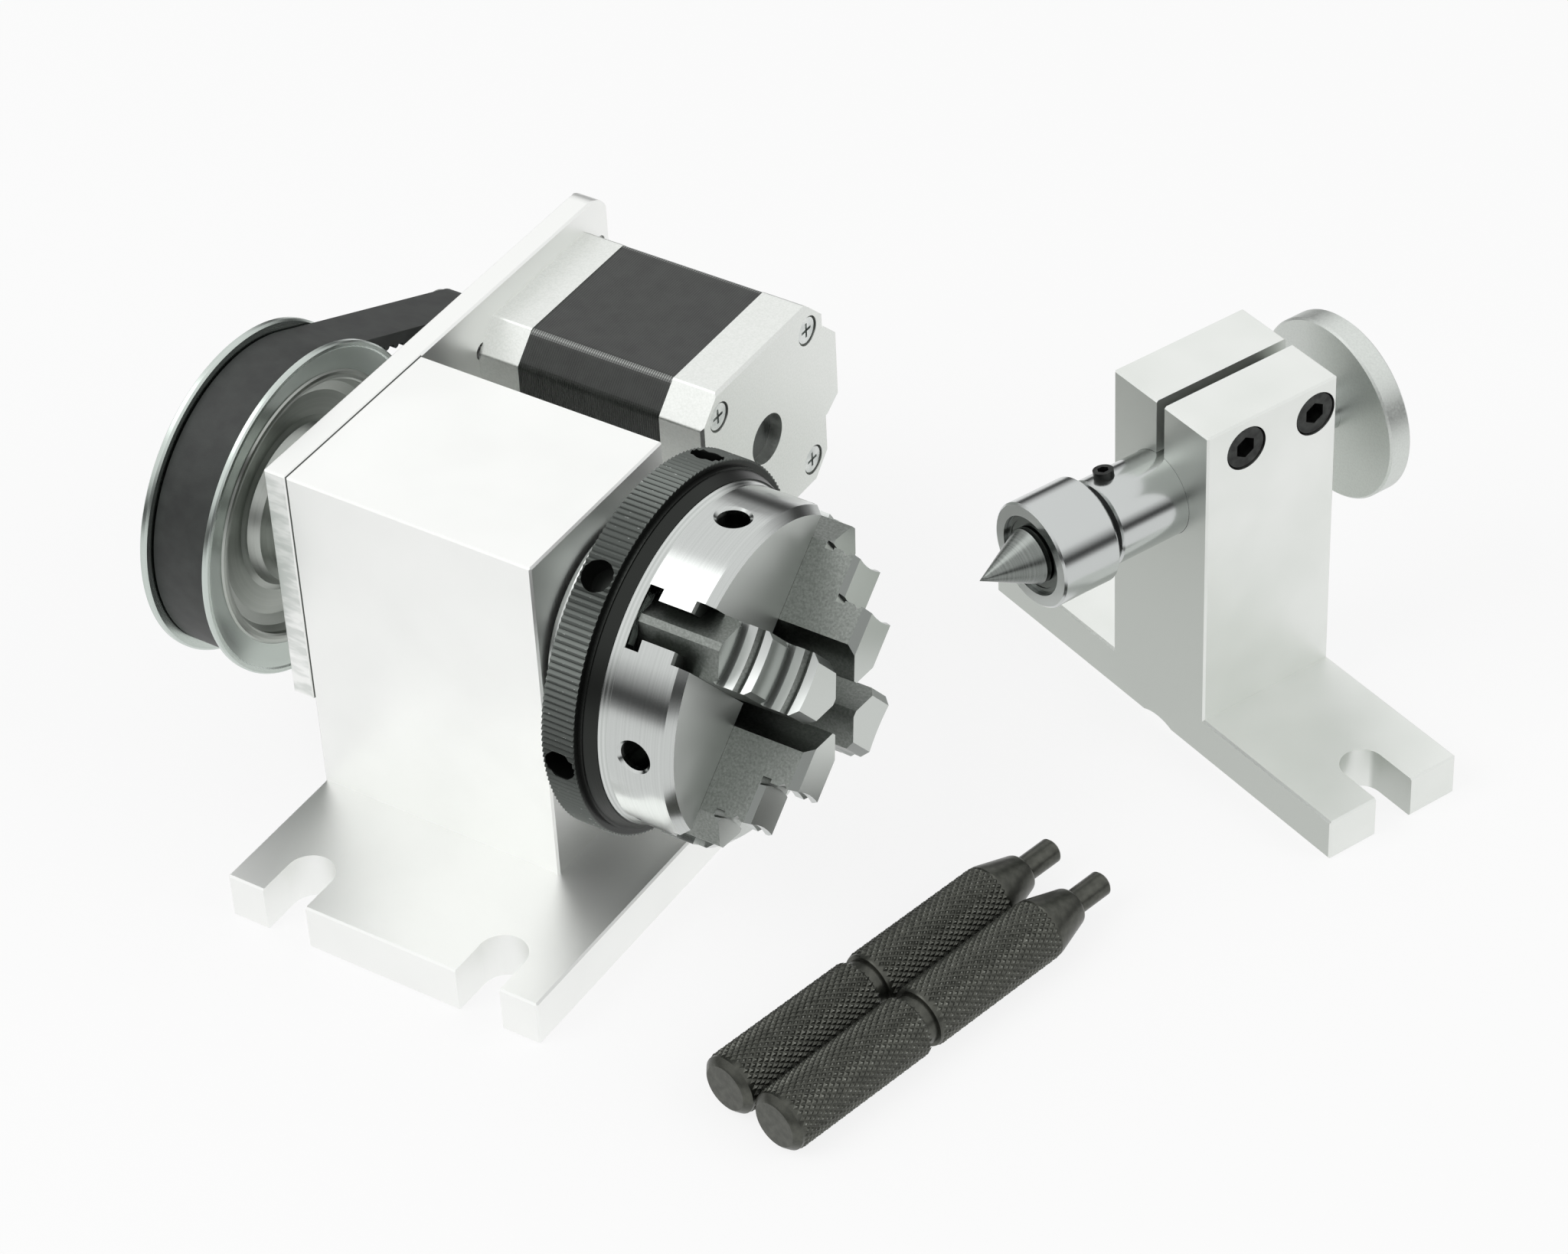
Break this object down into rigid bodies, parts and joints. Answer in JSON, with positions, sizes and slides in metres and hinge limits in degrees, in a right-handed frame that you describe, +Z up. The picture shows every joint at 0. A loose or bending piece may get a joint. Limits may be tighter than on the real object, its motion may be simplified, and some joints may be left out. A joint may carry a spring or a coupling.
{
  "type": "cnc rotary axis",
  "caption": "Belt-driven rotary axis: milled headstock with lever scroll chuck and stepper motor, loose tailstock with live centre and handwheel, and knurled tommy bars.",
  "frame": {"origin": "middle of the headstock base's underside, on the floor, below the spindle axis", "axes": "+X along the spindle from the belt pulley to the chuck, +Y towards the motor, +Z up"},
  "size_m": [0.2154, 0.1851, 0.0925],
  "materials": {
    "satin_aluminium": "satin milled",
    "cast_aluminium": "fine cast",
    "black_laminations": "satin black",
    "bright_steel": "turned and ground",
    "hardened_steel": "ground, darkened",
    "bearing_steel": "polished",
    "zinc_steel": "zinc plated",
    "black_oxide": "black oxide",
    "belt_rubber": "matte",
    "seal_rubber": "matte",
    "ivory_plastic": "moulded",
    "dark_centre": "turned, darkened"
  },
  "bodies": {
    "headstock": {"headstock_block": "satin_aluminium", "drive_plate": "satin_aluminium", "plate_screws": "black_oxide", "bearing_outer_races": "bearing_steel", "bearing_circlip": "black_oxide", "motor_front_cap": "cast_aluminium", "motor_stack": "black_laminations", "motor_rear_cap": "cast_aluminium", "motor_bearings": "bearing_steel", "motor_case_screws": "bearing_steel", "motor_mount_screws": "black_oxide", "motor_plug_socket": "ivory_plastic", "timing_belt": "belt_rubber"},
    "spindle": {"spindle": "bright_steel", "bearing_inner_races": "bearing_steel", "bearing_balls": "bearing_steel", "bearing_spacer": "bright_steel", "drive_pulley": "satin_aluminium", "pulley_flange_near": "zinc_steel", "pulley_flange_far": "zinc_steel", "spindle_nut": "black_oxide", "chuck_backplate": "bright_steel", "backplate_screws": "black_oxide", "chuck_body": "bright_steel", "chuck_screws": "black_oxide"},
    "scroll": {"scroll_plate": "bright_steel", "scroll_grip_ring": "black_oxide"},
    "jaw_1": {"jaw_1": "hardened_steel"},
    "jaw_2": {"jaw_2": "hardened_steel"},
    "jaw_3": {"jaw_3": "hardened_steel"},
    "jaw_4": {"jaw_4": "hardened_steel"},
    "rotor": {"motor_shaft": "bearing_steel", "motor_rotor": "zinc_steel", "motor_pulley": "satin_aluminium", "motor_pulley_screw": "black_oxide"},
    "tailstock": {"tailstock_body": "satin_aluminium", "clamp_screws": "black_oxide"},
    "quill": {"quill": "bright_steel", "quill_set_screw": "black_oxide", "live_centre_housing": "bright_steel", "live_centre_seal_ring": "seal_rubber", "live_outer_race": "bearing_steel", "live_shield": "bearing_steel"},
    "live_centre": {"live_inner_race": "bearing_steel", "live_balls": "bearing_steel", "centre_point": "dark_centre"},
    "handwheel": {"feed_screw": "bright_steel", "handwheel": "satin_aluminium", "handwheel_screw": "black_oxide"},
    "tommy_bar_1": {"tommy_bar_1": "black_oxide"},
    "tommy_bar_2": {"tommy_bar_2": "black_oxide"}
  },
  "joints": [
    {"name": "spindle_spin", "type": "hinge", "parent": "headstock", "child": "spindle", "pos_m": [0, 0, 0.0565], "axis": [1, 0, 0], "continuous": true},
    {"name": "motor_spin", "type": "hinge", "parent": "headstock", "child": "rotor", "pos_m": [0, 0.05973, 0.0565], "axis": [1, 0, 0], "continuous": true},
    {"name": "scroll_turn", "type": "hinge", "parent": "spindle", "child": "scroll", "pos_m": [0, 0, 0.0565], "axis": [1, 0, 0], "range_deg": [-475, 475]},
    {"name": "jaw_1_slide", "type": "slide", "parent": "spindle", "child": "jaw_1", "axis": [0, -0.6428, 0.766], "range_m": [-0.004, 0.004]},
    {"name": "jaw_2_slide", "type": "slide", "parent": "spindle", "child": "jaw_2", "axis": [0, -0.766, -0.6428], "range_m": [-0.004, 0.004]},
    {"name": "jaw_3_slide", "type": "slide", "parent": "spindle", "child": "jaw_3", "axis": [0, 0.6428, -0.766], "range_m": [-0.004, 0.004]},
    {"name": "jaw_4_slide", "type": "slide", "parent": "spindle", "child": "jaw_4", "axis": [0, 0.766, 0.6428], "range_m": [-0.004, 0.004]},
    {"name": "tailstock_place", "type": "slide", "parent": "headstock", "child": "tailstock", "axis": [0.3762, 0.9265, 0], "range_m": [0, 0.1]},
    {"name": "quill_feed", "type": "slide", "parent": "tailstock", "child": "quill", "axis": [-0.3762, -0.9265, 0], "range_m": [-0.0095, 0.008]},
    {"name": "handwheel_spin", "type": "hinge", "parent": "quill", "child": "handwheel", "pos_m": [0.0945, 0.0962, 0.0565], "axis": [-0.3762, -0.9265, 0], "range_deg": [-2737, 2305]},
    {"name": "live_centre_spin", "type": "hinge", "parent": "quill", "child": "live_centre", "pos_m": [0.0945, 0.0962, 0.0565], "axis": [-0.3762, -0.9265, 0], "continuous": true},
    {"name": "tommy_bar_1_lift", "type": "slide", "parent": "headstock", "child": "tommy_bar_1", "axis": [0, 0, 1], "range_m": [0, 0.1]},
    {"name": "tommy_bar_2_lift", "type": "slide", "parent": "headstock", "child": "tommy_bar_2", "axis": [0, 0, 1], "range_m": [0, 0.1]}
  ],
  "couplings": [
    {"joint": "motor_spin", "follows": "spindle_spin", "ratio": 6},
    {"joint": "jaw_1_slide", "follows": "scroll_turn", "m_per_rad": -0.00047746},
    {"joint": "jaw_2_slide", "follows": "scroll_turn", "m_per_rad": -0.00047746},
    {"joint": "jaw_3_slide", "follows": "scroll_turn", "m_per_rad": -0.00047746},
    {"joint": "jaw_4_slide", "follows": "scroll_turn", "m_per_rad": -0.00047746},
    {"joint": "handwheel_spin", "follows": "quill_feed", "rad_per_m": 5026.5}
  ]
}
